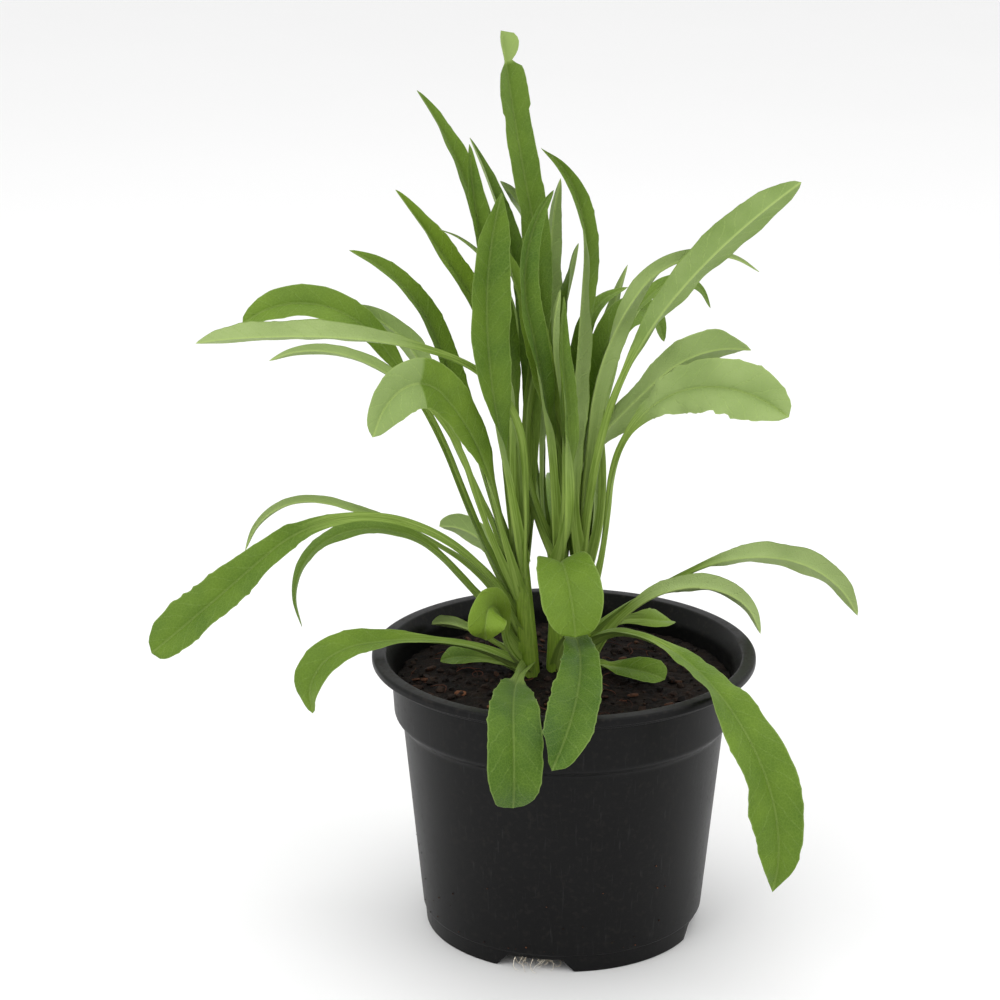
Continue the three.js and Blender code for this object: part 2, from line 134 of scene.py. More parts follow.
def wear_group():
    """Mask of rubbed outer edges, broken up by noise."""
    tree, given, result = new_group("Edge wear", {"Start": 0.52, "End": 0.6}, ["Mask"])
    geometry = add_node(tree, "ShaderNodeNewGeometry")
    edge = add_node(tree, "ShaderNodeMapRange", {
        "Value": geometry.outputs["Pointiness"],
        "From Min": given.outputs["Start"], "From Max": given.outputs["End"]})
    broken = stretch(tree, cloud(tree, own_place(tree), 260.0, 5.0), 0.4, 0.62)
    tree.links.new(math_node(tree, "MULTIPLY", edge.outputs[0], broken), result.inputs["Mask"])
    return tree


def dust_group():
    """Mask of fine dust: more on surfaces that face up, in loose patches."""
    tree, given, result = new_group("Dust", {"Amount": 0.3, "Speck Scale": 500.0}, ["Mask"])
    facing = add_node(tree, "ShaderNodeSeparateXYZ", {
        0: add_node(tree, "ShaderNodeNewGeometry").outputs["Normal"]})
    level = add_node(tree, "ShaderNodeMapRange", {
        "Value": facing.outputs["Z"], "From Min": -0.3, "From Max": 1.0,
        "To Min": 0.25, "To Max": 1.0})
    specks = cloud(tree, own_place(tree), given.outputs["Speck Scale"], 5.0)
    spots = stretch(tree, specks, 0.5, 0.72)
    both = math_node(tree, "MULTIPLY", level.outputs[0], spots)
    tree.links.new(math_node(tree, "MULTIPLY", both, given.outputs["Amount"]),
                   result.inputs["Mask"])
    return tree


GRAIN = grain_group()
WEAR = wear_group()
DUST = dust_group()


def new_material(name):
    material = bpy.data.materials.new(name)
    material.use_nodes = True
    tree = material.node_tree
    return material, tree, tree.nodes["Principled BSDF"]


def roughness(tree, shader, value, low, high):
    """Roughness from low to high, where value goes from 0 to 1."""
    made = add_node(tree, "ShaderNodeMapRange", {"Value": value, "To Min": low, "To Max": high})
    tree.links.new(made.outputs[0], shader.inputs["Roughness"])


def bump(tree, shader, height, strength, depth):
    """Raises a surface by depth metres where height is one."""
    made = add_node(tree, "ShaderNodeBump", {
        "Strength": strength, "Distance": depth, "Height": height})
    tree.links.new(made.outputs["Normal"], shader.inputs["Normal"])


def pot_plastic():
    """Black with a fine grain, scuffed along its height, rubbed at the edges and a little dusty."""
    material, tree, shader = new_material("black_pot_plastic")
    grain = use_group(tree, GRAIN, {"Patch Scale": 35.0, "Grain Scale": 2600.0})
    wear = use_group(tree, WEAR, {"Start": 0.53, "End": 0.62})["Mask"]
    dust = use_group(tree, DUST, {"Amount": 0.55, "Speck Scale": 420.0})["Mask"]
    upright = add_node(tree, "ShaderNodeMapping", {"Vector": own_place(tree), "Scale": (1, 1, 0.04)})
    scuff = stretch(tree, cloud(tree, upright.outputs[0], 900.0, 4.0), 0.6, 0.8)
    black = mix_colour(tree, grain["Patches"], (0.0036, 0.0036, 0.0038, 1), (0.006, 0.006, 0.0062, 1))
    rubbed = mix_colour(tree, math_node(tree, "MULTIPLY", wear, 0.5), black, (0.06, 0.06, 0.06, 1))
    scratched = mix_colour(tree, math_node(tree, "MULTIPLY", scuff, 0.35), rubbed,
                           (0.035, 0.035, 0.036, 1))
    dusty = mix_colour(tree, math_node(tree, "MULTIPLY", dust, 0.28), scratched,
                       (0.09, 0.075, 0.062, 1))
    tree.links.new(dusty, shader.inputs["Base Color"])
    rough = add_node(tree, "ShaderNodeMapRange", {
        "Value": grain["Patches"], "To Min": 0.34, "To Max": 0.46})
    tree.links.new(math_node(tree, "ADD", rough.outputs[0], math_node(tree, "MULTIPLY", dust, 0.3)),
                   shader.inputs["Roughness"])
    shader.inputs["Specular IOR Level"].default_value = 0.12
    height = math_node(tree, "ADD", grain["Grain"], math_node(tree, "MULTIPLY", scuff, 0.6))
    bump(tree, shader, height, 0.35, 0.00008)
    return material


def skin(count, rings, start=0):
    """Faces of a body of rings of count points each, with a flat face at both ends."""
    faces = []
    for ring in range(rings - 1):
        here = start + ring * count
        for i in range(count):
            after = (i + 1) % count
            faces.append((here + i, here + after, here + count + after, here + count + i))
    faces.append([start + i for i in reversed(range(count))])
    faces.append([start + (rings - 1) * count + i for i in range(count)])
    return faces


def add_piece(name, points, faces, material, nodes=(), values=None, sharp=40.0):
    """Makes a smooth piece that rides on the part. values holds a number for each point, by name."""
    mesh = bpy.data.meshes.new(name)
    mesh.from_pydata([tuple(point) for point in points], [], [tuple(face) for face in faces])
    for label, numbers in (values or {}).items():
        stored = mesh.attributes.new(label, "FLOAT", "POINT")
        stored.data.foreach_set("value", np.asarray(numbers, dtype=np.float32))
    mesh.polygons.foreach_set("use_smooth", [True] * len(mesh.polygons))
    mesh.set_sharp_from_angle(angle=math.radians(sharp))
    mesh.materials.append(material)
    mesh.update()
    piece = bpy.data.objects.new(name, mesh)
    bpy.context.scene.collection.objects.link(piece)
    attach(piece, "root")
    if nodes:
        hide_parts(*nodes)
    return piece


def rounded(corners, steps=4):
    """Softens a profile's corners, each given as radius, height and rounding."""
    softened = []
    for i, (radius, height, rounding) in enumerate(corners):
        corner = np.array([radius, height])
        if rounding == 0 or i in (0, len(corners) - 1):
            softened.append(corner)
            continue
        before = np.array(corners[i - 1][:2]) - corner
        after = np.array(corners[i + 1][:2]) - corner
        start = corner + before * min(rounding / np.linalg.norm(before), 0.45)
        end = corner + after * min(rounding / np.linalg.norm(after), 0.45)
        for step in range(steps + 1):
            t = step / steps
            softened.append((1 - t) ** 2 * start + 2 * t * (1 - t) * corner + t ** 2 * end)
    return np.array(softened)


def lathe(profile, around, height_at=None):
    """Turns a profile that starts and ends on the axis. height_at may change a point's height."""
    points = [(0, 0, profile[0][1])]
    faces = []
    inner = profile[1:-1]
    for step in range(around):
        angle = 2 * math.pi * step / around
        for radius, height in inner:
            if height_at:
                height = height_at(radius, height, angle)
            points.append((radius * math.cos(angle), radius * math.sin(angle), height))
    points.append((0, 0, profile[-1][1]))
    count = len(inner)
    for step in range(around):
        here = 1 + step * count
        there = 1 + (step + 1) % around * count
        faces.append((0, there, here))
        for i in range(count - 1):
            faces.append((here + i, there + i, there + i + 1, here + i + 1))
        faces.append((here + count - 1, there + count - 1, len(points) - 1))
    return np.array(points) * MM, faces


# Sizes in mm.
pot_low, pot_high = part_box("pot")
RIM_R = (pot_high[0] - pot_low[0]) / 2 / MM
POT_TOP = pot_high[2] / MM
FOOT_R = RIM_R - 22.5
WALL_R = RIM_R - 13.5
COLLAR_R = RIM_R - 8.5
WALL_THICK = 1.3
FLOOR_UNDER = 6.8
FLOOR_TOP = FLOOR_UNDER + WALL_THICK
FOOT_BOTTOM, FOOT_INSIDE = 0.8, FOOT_R - 6
NOTCH_BEARING = math.radians(32.4)
NOTCH_LIFT = 5.6
NOTCH_TOP, NOTCH_BOTTOM = 12.5, 18.0     # half widths
DRAIN_HOLES, DRAIN_R, DRAIN_RING_R = 8, 5.0, 42.0
POT_STEPS_AROUND = 384

# Radius, height and rounding of each corner: under the floor, up the outside, down the inside.
POT_PROFILE = [
    (0, FLOOR_UNDER, 0), (FOOT_R - 3.6, FLOOR_UNDER, 0.1),
    (FOOT_R - 4, 0, 0.5), (FOOT_R - 1, 0, 0.7),
    (FOOT_R - 0.3, 7.9, 0.3), (FOOT_R + 0.4, 8.5, 0.5),
    (WALL_R, POT_TOP - 31, 1.6), (COLLAR_R - 1.3, POT_TOP - 27.5, 1.6),
    (COLLAR_R, POT_TOP - 6.6, 0.4), (COLLAR_R + 0.8, POT_TOP - 6, 0.4),
    (RIM_R - 3.4, POT_TOP - 5.6, 0.5), (RIM_R - 2.8, POT_TOP - 3.5, 0.4),
    (RIM_R, POT_TOP - 3.5, 0.8), (RIM_R, POT_TOP, 1.4),
    (RIM_R - 6, POT_TOP, 0.9), (COLLAR_R - WALL_THICK, POT_TOP - 7, 2.0),
    (COLLAR_R - 1.3 - WALL_THICK, POT_TOP - 27, 1.2), (WALL_R - WALL_THICK, POT_TOP - 30.8, 1.2),
    (FOOT_R + 0.4 - WALL_THICK, FLOOR_TOP, 2.0), (0, FLOOR_TOP, 0),
]


def notch_lift(radius, height, angle):
    """Lifts the bottom of the foot ring where one of the four notches is."""
    if height > FOOT_BOTTOM or radius < FOOT_INSIDE:
        return height
    turn = (angle - NOTCH_BEARING + math.pi / 4) % (math.pi / 2) - math.pi / 4
    away = abs(turn) * FOOT_R
    share = (NOTCH_BOTTOM - away) / (NOTCH_BOTTOM - NOTCH_TOP)
    return height + NOTCH_LIFT * min(max(share, 0), 1)


def cut(piece, cutter):
    """Cuts one mesh from another and drops the cutter."""
    modifier = piece.modifiers.new("cut", "BOOLEAN")
    modifier.operation = "DIFFERENCE"
    modifier.solver = "EXACT"
    modifier.object = cutter
    result = bpy.data.meshes.new_from_object(
        piece.evaluated_get(bpy.context.evaluated_depsgraph_get()))
    piece.modifiers.clear()
    piece.data = result
    bpy.data.objects.remove(cutter)


def drain_drill():
    """A bundle of pins where the drain holes are."""
    points, faces, sides = [], [], 24
    for hole in range(DRAIN_HOLES):
        bearing = 2 * math.pi * hole / DRAIN_HOLES + NOTCH_BEARING
        start = len(points)
        for height in (FLOOR_UNDER - 1, FLOOR_TOP + 1):
            for side in range(sides):
                angle = 2 * math.pi * side / sides
                points.append(((DRAIN_RING_R * math.cos(bearing) + DRAIN_R * math.cos(angle)) * MM,
                               (DRAIN_RING_R * math.sin(bearing) + DRAIN_R * math.sin(angle)) * MM,
                               height * MM))
        faces += skin(sides, 2, start)
    mesh = bpy.data.meshes.new("drain_drill")
    mesh.from_pydata(points, [], faces)
    drill = bpy.data.objects.new("drain_drill", mesh)
    bpy.context.scene.collection.objects.link(drill)
    return drill


POT_PLASTIC = pot_plastic()
pot_points, pot_faces = lathe(rounded(POT_PROFILE), POT_STEPS_AROUND, notch_lift)
pot = add_piece("nursery_pot", pot_points, pot_faces, POT_PLASTIC, ["pot"])
cut(pot, drain_drill())


# ------------------------------------------------------------------------------------------------
# Root ball: dark peat compost that fills the pot to 14 mm under the rim, crumbly on top. It is one
# closed body, with loose crumbs, bark chips and root fibres lying on it as separate pieces.

SOIL_TOP = POT_TOP - 14
SOIL_R = COLLAR_R - WALL_THICK - 0.7
SOIL_RING_STEP = 0.8
SOIL_STEPS_AROUND = 420


def soil_height(x, y):
    """Height of the compost over a point, in mm."""
    spot = Vector((x, y, 3.0))
    swell = 1.5 * noise.fractal(spot * 0.035, 0.9, 2.0, 3)
    lumps = 0.8 - noise.voronoi(spot * 0.21)[0][0]
    crumbs = 0.5 - noise.voronoi(spot * 0.55 + Vector((9, 2, 0)))[0][0]
    grit = noise.fractal(spot * 1.1, 0.8, 2.1, 2)
    return SOIL_TOP - 0.4 + swell + 1.5 * lumps + 0.75 * crumbs + 0.22 * grit


def compost():
    """Dark brown, flecked with lighter bits, with a matt crumbly surface."""
    material, tree, shader = new_material("peat_compost")
    grain = use_group(tree, GRAIN, {"Patch Scale": 160.0, "Grain Scale": 1500.0})
    dust = use_group(tree, DUST, {"Amount": 0.6, "Speck Scale": 900.0})["Mask"]
    patches = stretch(tree, grain["Patches"], 0.36, 0.66)
    dark = mix_colour(tree, patches, (0.0022, 0.0013, 0.001, 1), (0.011, 0.0062, 0.004, 1))
    bits = stretch(tree, grain["Grain"], 0.56, 0.72)
    flecked = mix_colour(tree, math_node(tree, "MULTIPLY", bits, 0.6), dark, (0.032, 0.016, 0.01, 1))
    dusty = mix_colour(tree, math_node(tree, "MULTIPLY", dust, 0.16), flecked,
                       (0.05, 0.032, 0.022, 1))
    tree.links.new(dusty, shader.inputs["Base Color"])
    roughness(tree, shader, grain["Grain"], 0.62, 0.95)
    shader.inputs["Specular IOR Level"].default_value = 0.15
    bump(tree, shader, grain["Grain"], 0.8, 0.0005)
    return material


COMPOST = compost()


def domed(around, rings):
    """Faces of a body of rings that closes on one point above and one below."""
    faces = []
    end = 1 + rings * around
    last = end - around
    for step in range(around):
        after = (step + 1) % around
        faces.append((0, 1 + step, 1 + after))
        for ring in range(rings - 1):
            here = 1 + ring * around
            faces.append((here + step, here + around + step, here + around + after, here + after))
        faces.append((last + step, end, last + after))
    return faces


def root_ball():
    """Rings of the top from the middle out, then the side down the wall, and the bottom."""
    rings = [(i * SOIL_RING_STEP, None) for i in range(int(SOIL_R / SOIL_RING_STEP) + 1)]
    rings += [(SOIL_R, SOIL_TOP - 1.5), (COLLAR_R - 3.2, POT_TOP - 26.5),
              (WALL_R - 1.8, POT_TOP - 31), (FOOT_R - 1.4, FLOOR_TOP + 0.5)]
    points = [(0, 0, soil_height(0, 0))]
    for radius, height in rings[1:]:
        for step in range(SOIL_STEPS_AROUND):
            angle = 2 * math.pi * step / SOIL_STEPS_AROUND
            x, y = radius * math.cos(angle), radius * math.sin(angle)
            points.append((x, y, soil_height(x, y) if height is None else height))
    points.append((0, 0, FLOOR_TOP + 0.5))
    return np.array(points) * MM, domed(SOIL_STEPS_AROUND, len(rings) - 1)


soil_points, soil_faces = root_ball()
add_piece("root_ball", soil_points, soil_faces, COMPOST, ["soil"], sharp=60)

# Corners of the leaves and shoots that lie near the compost, which loose bits keep clear of.
NEAR_SOIL = 9
LOW_LEAVES = np.concatenate([
    np.array([vertex.co[:] for vertex in node.data.vertices])
    for name, node in sorted(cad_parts.items()) if name.startswith(("leaf", "shoot"))])
LOW_LEAVES = LOW_LEAVES[LOW_LEAVES[:, 2] < (SOIL_TOP + NEAR_SOIL) * MM]


def clear_of_leaves(x, y, room):
    return np.hypot(LOW_LEAVES[:, 0] - x * MM, LOW_LEAVES[:, 1] - y * MM).min() > room * MM


def random_spot(rng, reach):
    """A place on the compost, as likely near the wall as in the middle."""
    angle = rng.uniform(0, 2 * math.pi)
    radius = reach * math.sqrt(rng.random())
    return radius * math.cos(angle), radius * math.sin(angle)


def lump(rng, size, flat):
    """Points and faces of one rough crumb of about this size, in mm."""
    rings, sides = 4, 7
    points = [(0, 0, size * flat)]
    for ring in range(1, rings):
        tilt = math.pi * ring / rings
        for side in range(sides):
            angle = 2 * math.pi * (side + 0.5 * (ring % 2)) / sides
            reach = size * rng.uniform(0.7, 1.25)
            points.append((reach * math.sin(tilt) * math.cos(angle),
                           reach * math.sin(tilt) * math.sin(angle),
                           reach * math.cos(tilt) * flat))
    points.append((0, 0, -size * flat))
    return np.array(points), domed(sides, rings - 1)


def gather(parts):
    """Joins (points, faces, tone) bits to one mesh with a tone for each bit."""
    points, faces, tones = [], [], []
    for bit_points, bit_faces, tone in parts:
        start = sum(len(done) for done in points)
        points.append(bit_points)
        faces += [[start + i for i in face] for face in bit_faces]
        tones += [tone] * len(bit_points)
    return np.concatenate(points) * MM, faces, {"tone": tones}


def turn_matrix(heading, pitch, roll):
    """Turns points by roll about x, then pitch about y, then heading about z."""
    cos, sin = math.cos, math.sin
    about_z = np.array([[cos(heading), -sin(heading), 0], [sin(heading), cos(heading), 0], [0, 0, 1]])
    about_y = np.array([[cos(pitch), 0, sin(pitch)], [0, 1, 0], [-sin(pitch), 0, cos(pitch)]])
    about_x = np.array([[1, 0, 0], [0, cos(roll), -sin(roll)], [0, sin(roll), cos(roll)]])
    return about_z @ about_y @ about_x


def toned_material(name, dark, light, grain_scale, rough, relief):
    """A material for loose bits, whose colour goes from dark to light with each bit's own tone."""
    material, tree, shader = new_material(name)
    grain = use_group(tree, GRAIN, {"Patch Scale": grain_scale / 4, "Grain Scale": grain_scale})
    tone = add_node(tree, "ShaderNodeAttribute", attribute_name="tone").outputs["Fac"]
    spread = add_node(tree, "ShaderNodeMapRange", {
        "Value": grain["Grain"], "From Min": 0.3, "From Max": 0.7, "To Min": -0.25, "To Max": 0.25})
    varied = math_node(tree, "ADD", tone, spread.outputs[0], True)
    tree.links.new(mix_colour(tree, varied, dark, light), shader.inputs["Base Color"])
    roughness(tree, shader, grain["Patches"], rough - 0.12, rough + 0.12)
    shader.inputs["Specular IOR Level"].default_value = 0.2
    bump(tree, shader, grain["Grain"], 0.7, relief)
    return material


CRUMBS, CHIPS, FIBRES = 620, 46, 90
ANY_WAY = 6.28


def soil_crumbs():
    rng = random.Random(11)
    parts = []
    while len(parts) < CRUMBS:
        x, y = random_spot(rng, SOIL_R - 2)
        size = rng.uniform(0.45, 1.0) if rng.random() < 0.75 else rng.uniform(1.0, 2.1)
        if not clear_of_leaves(x, y, size + 1):
            continue
        points, faces = lump(rng, size, rng.uniform(0.55, 0.9))
        points = points @ turn_matrix(rng.uniform(0, ANY_WAY), 0, 0).T
        points += (x, y, soil_height(x, y) + 0.3 * size)
        parts.append((points, faces, rng.uniform(0, 0.75) ** 1.5))
    return gather(parts)


CRUMB = toned_material("compost_crumb", (0.003, 0.002, 0.0015, 1), (0.04, 0.022, 0.014, 1),
                       1400.0, 0.85, 0.0003)
crumb_points, crumb_faces, crumb_tones = soil_crumbs()
add_piece("soil_crumbs", crumb_points, crumb_faces, CRUMB, values=crumb_tones, sharp=50)


def bark_chip(rng, length, width, thick):
    """A split chip: an irregular plate with a worn edge."""
    sides = 8
    points, outline = [], []
    for side in range(sides):
        angle = 2 * math.pi * (side + rng.uniform(-0.25, 0.25)) / sides
        reach = rng.uniform(0.78, 1.1)
        outline.append((length / 2 * math.cos(angle) * reach, width / 2 * math.sin(angle) * reach))
    for scale, height in ((0.82, -thick / 2), (1.0, -thick / 4), (1.0, thick / 4), (0.8, thick / 2)):
        for x, y in outline:
            points.append((x * scale, y * scale, height + rng.uniform(-0.12, 0.12) * thick
                           + 0.05 * x * math.sin(x)))
    return np.array(points), skin(sides, 4)


def bark_chips():
    rng = random.Random(5)
    parts = []
    while len(parts) < CHIPS:
        x, y = random_spot(rng, SOIL_R - 5)
        length = rng.uniform(3.5, 8.5)
        if not clear_of_leaves(x, y, length / 2 + 1):
            continue
        points, faces = bark_chip(rng, length, length * rng.uniform(0.3, 0.6), rng.uniform(0.7, 1.5))
        tilt = turn_matrix(rng.uniform(0, ANY_WAY), rng.gauss(0, 0.25), rng.gauss(0, 0.3))
        parts.append((points @ tilt.T + (x, y, soil_height(x, y) + 0.6), faces,
                      rng.uniform(0, 0.6) if rng.random() < 0.85 else 0.95))
    return gather(parts)


BARK = toned_material("bark_chip", (0.006, 0.0035, 0.0025, 1), (0.13, 0.05, 0.022, 1),
                      700.0, 0.75, 0.0004)
bark_points, bark_faces, bark_tones = bark_chips()
add_piece("bark_chips", bark_points, bark_faces, BARK, values=bark_tones, sharp=45)


def tube(path, radii, sides=6):
    """A thin closed strand along a path of points."""
    path = np.asarray(path, float)
    ahead = np.gradient(path, axis=0)
    ahead /= np.linalg.norm(ahead, axis=1)[:, None]
    side = np.cross(ahead, (0.31, 0.2, 0.93))
    side /= np.linalg.norm(side, axis=1)[:, None] + 1e-9
    over = np.cross(ahead, side)
    points = [path[0]]
    for i in range(len(path)):
        for step in range(sides):
            angle = 2 * math.pi * step / sides
            points.append(path[i] + radii[i] * (math.cos(angle) * side[i] + math.sin(angle) * over[i]))
    points.append(path[-1])
    faces = []
    for step in range(sides):
        after = (step + 1) % sides
        faces.append((0, 1 + after, 1 + step))
        for i in range(len(path) - 1):
            here = 1 + i * sides
            faces.append((here + step, here + after, here + sides + after, here + sides + step))
        last = 1 + (len(path) - 1) * sides
        faces.append((last + step, last + after, len(points) - 1))
    return np.array(points), faces


def strand(rng, start, length, rise, curl, pieces=12):
    """A wandering line of points of this length."""
    heading, place = rng.uniform(0, ANY_WAY), np.array(start, float)
    bend, line = rng.gauss(0, curl), [np.array(start, float)]
    for i in range(pieces):
        heading += bend + rng.gauss(0, curl)
        lift = rise * math.cos(math.pi * i / pieces) + rng.gauss(0, 0.12)
        place = place + length / pieces * np.array([math.cos(heading), math.sin(heading), lift])
        line.append(place)
    return np.array(line)


def fibres():
    rng = random.Random(23)
    parts = []
    while len(parts) < FIBRES:
        x, y = random_spot(rng, SOIL_R - 6)
        line = strand(rng, (x, y, soil_height(x, y) + 0.3), rng.uniform(4, 15), 0.35, 0.22)
        if np.hypot(line[:, 0], line[:, 1]).max() > SOIL_R - 1.5:
            continue
        for point in line:
            point[2] = max(point[2], soil_height(point[0], point[1]) + 0.1)
        width = rng.uniform(0.1, 0.28)
        radii = width * np.interp(np.linspace(0, 1, len(line)), [0, 0.2, 0.8, 1], [0.4, 1, 0.9, 0.3])
        points, faces = tube(line, radii, 5)
        parts.append((points, faces, rng.random()))
    return gather(parts)


FIBRE = toned_material("root_fibre", (0.008, 0.004, 0.003, 1), (0.11, 0.04, 0.022, 1),
                       2400.0, 0.8, 0.0001)
fibre_points, fibre_faces, fibre_tones = fibres()
add_piece("soil_fibres", fibre_points, fibre_faces, FIBRE, values=fibre_tones)


# ------------------------------------------------------------------------------------------------
# Shoots: three short upright stalks, soft and ribbed, that grow out of the compost. The leaf feet
# clasp them.

def stalk_green():
    """Yellow-green with fine lines along the stalk, soiled in places."""
    material, tree, shader = new_material("shoot_stalk")
    grain = use_group(tree, GRAIN, {"Patch Scale": 90.0, "Grain Scale": 1800.0})
    dust = use_group(tree, DUST, {"Amount": 0.35, "Speck Scale": 700.0})["Mask"]
    upright = add_node(tree, "ShaderNodeMapping", {"Vector": own_place(tree), "Scale": (1, 1, 0.06)})
    lines = cloud(tree, upright.outputs[0], 1500.0, 3.0)
    green = mix_colour(tree, stretch(tree, lines, 0.35, 0.65),
                       (0.125, 0.215, 0.01, 1), (0.2, 0.3, 0.03, 1))
    soiled = mix_colour(tree, dust, green, (0.07, 0.045, 0.02, 1))
    tree.links.new(soiled, shader.inputs["Base Color"])
    roughness(tree, shader, grain["Patches"], 0.4, 0.62)
    bump(tree, shader, lines, 0.35, 0.0002)
    return material


STALK_GREEN = stalk_green()
STALK_RIBS, STALK_RIB_DEPTH = 7, 0.05
STALK_FULLNESS = 1.1
STALK_DOME_ROWS = 4


def shoot_piece(side):
    """A ribbed stalk with a domed top, along the centres and radii of the shoot's own rings."""
    node = f"shoot_{side}"
    corners = np.array([vertex.co[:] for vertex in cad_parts[node].data.vertices])
    levels = np.unique(np.round(corners[:, 2], 5))
    centres, radii = [], []
    for level in levels:
        ring = corners[abs(corners[:, 2] - level) < 2e-5]
        ring = np.unique(np.round(ring, 6), axis=0)
        centres.append(ring.mean(axis=0))
        radii.append(np.hypot(*(ring - ring.mean(axis=0))[:, :2].T).max())
    around, rows = 42, 40
    points = []
    for row in range(rows + 1):
        share = row / rows * (len(levels) - 1)
        centre = np.array([np.interp(share, range(len(levels)), [c[axis] for c in centres])
                           for axis in range(3)])
        radius = np.interp(share, range(len(levels)), radii)
        closing = max(0, (row - rows + STALK_DOME_ROWS) / STALK_DOME_ROWS)
        dome = math.sqrt(max(0.02, 1 - closing ** 2))
        for step in range(around):
            angle = 2 * math.pi * step / around
            rib = STALK_RIB_DEPTH * math.cos(STALK_RIBS * angle + row * 0.02)
            reach = STALK_FULLNESS * radius * dome * (1 + rib)
            points.append(centre + reach * np.array([math.cos(angle), math.sin(angle), 0]))
    add_piece(f"stalk_{side}", points, skin(around, rows + 1), STALK_GREEN, [node])


for side in ("left", "middle", "right"):
    shoot_piece(side)


# ------------------------------------------------------------------------------------------------
# Leaves: soft, thin and slightly downy, long and lance-shaped. Each is one piece with its channelled
# stalk: it springs from a shoot, and has a raised pale midrib below and looped side veins.

def leaf_green():
    """Upper face green, underside paler and greyer; midrib, side veins and a fine network."""
    material, tree, shader = new_material("leaf_green")

    def value(name):
        return add_node(tree, "ShaderNodeAttribute", attribute_name=name).outputs["Fac"]

    grain = use_group(tree, GRAIN, {"Patch Scale": 55.0, "Grain Scale": 1400.0})
    under, stalk, tone = value("under"), value("stalk"), value("tone")
    out, along = value("out_mm"), value("along_mm")

    # Side veins leave the midrib at a slant and bend along the edge.
    slanted = math_node(tree, "SUBTRACT", along, math_node(
        tree, "MULTIPLY", math_node(tree, "POWER", out, 0.8), 2.1))
    wander = math_node(tree, "MULTIPLY", grain["Patches"], 14.0)
    veins = math_node(tree, "PINGPONG", math_node(tree, "ADD", slanted, wander), 4.2)
    line = math_node(tree, "SUBTRACT", 1.0, stretch(tree, veins, 0.1, 0.7))
    side_vein = math_node(tree, "MULTIPLY", line, stretch(tree, grain["Grain"], 0.3, 0.6))
    network = add_node(tree, "ShaderNodeTexVoronoi", {"Vector": own_place(tree), "Scale": 720.0},
                       feature="DISTANCE_TO_EDGE")
    fine_vein = math_node(tree, "SUBTRACT", 1.0, stretch(tree, network.outputs["Distance"], 0.0, 0.14))
    midrib = math_node(tree, "SUBTRACT", 1.0, stretch(tree, out, 0.25, 0.75))
    blade = math_node(tree, "SUBTRACT", 1.0, stalk)

    # tone holds each leaf's own green together with painted shade, darker on leaves that lie in shade.
    shade = math_node(tree, "ADD", tone, math_node(
        tree, "MULTIPLY", math_node(tree, "SUBTRACT", grain["Patches"], 0.5), 0.5), True)
    top = mix_colour(tree, shade, (0.034, 0.09, 0.0015, 1), (0.225, 0.345, 0.028, 1))
    below = mix_colour(tree, shade, (0.09, 0.17, 0.015, 1), (0.42, 0.53, 0.21, 1))
    face = mix_colour(tree, under, top, below)
    pale_lines = add_node(tree, "ShaderNodeMapRange", {
        "Value": under, "To Min": 0.1, "To Max": 0.3}).outputs[0]
    mottled = mix_colour(tree, math_node(tree, "MULTIPLY", fine_vein, 0.12), face,
                         (0.27, 0.42, 0.06, 1))
    veined = mix_colour(tree, math_node(tree, "MULTIPLY", side_vein, pale_lines), mottled,
                        (0.36, 0.5, 0.14, 1))
    ribbed = mix_colour(tree, math_node(tree, "MULTIPLY", midrib, math_node(
        tree, "MULTIPLY", pale_lines, 2.2)), veined, (0.38, 0.5, 0.15, 1))
    lengthwise = add_node(tree, "ShaderNodeCombineXYZ", {
        0: math_node(tree, "MULTIPLY", out, 2.2), 1: math_node(tree, "MULTIPLY", along, 0.05), 2: tone})
    stem = mix_colour(tree, stretch(tree, cloud(tree, lengthwise.outputs[0], 1.0, 3.0), 0.3, 0.7),
                      (0.125, 0.205, 0.02, 1), (0.25, 0.355, 0.07, 1))
    rimmed = mix_colour(tree, math_node(tree, "MULTIPLY", stretch(
        tree, value("edge"), 0.93, 1.0), 0.3), ribbed, (0.36, 0.47, 0.14, 1))
    coloured = mix_colour(tree, stalk, rimmed, stem)
    tree.links.new(coloured, shader.inputs["Base Color"])

    duller = math_node(tree, "ADD", grain["Patches"], math_node(tree, "MULTIPLY", under, 0.5))
    roughness(tree, shader, duller, 0.42, 0.66)
    shader.inputs["Specular IOR Level"].default_value = 0.24
    shader.inputs["Sheen Weight"].default_value = 0.04
    shader.inputs["Sheen Roughness"].default_value = 0.5
    sunk = math_node(tree, "MULTIPLY", math_node(tree, "ADD", math_node(
        tree, "MULTIPLY", side_vein, 0.7), math_node(tree, "MULTIPLY", fine_vein, 0.3)), blade)
    sign = math_node(tree, "SUBTRACT", math_node(tree, "MULTIPLY", under, 2.0), 1.0)
    height = math_node(tree, "ADD", math_node(tree, "MULTIPLY", sunk, sign),
                       math_node(tree, "MULTIPLY", grain["Grain"], 0.35))
    bump(tree, shader, height, 0.55, 0.00035)
    return material


LEAF_GREEN = leaf_green()


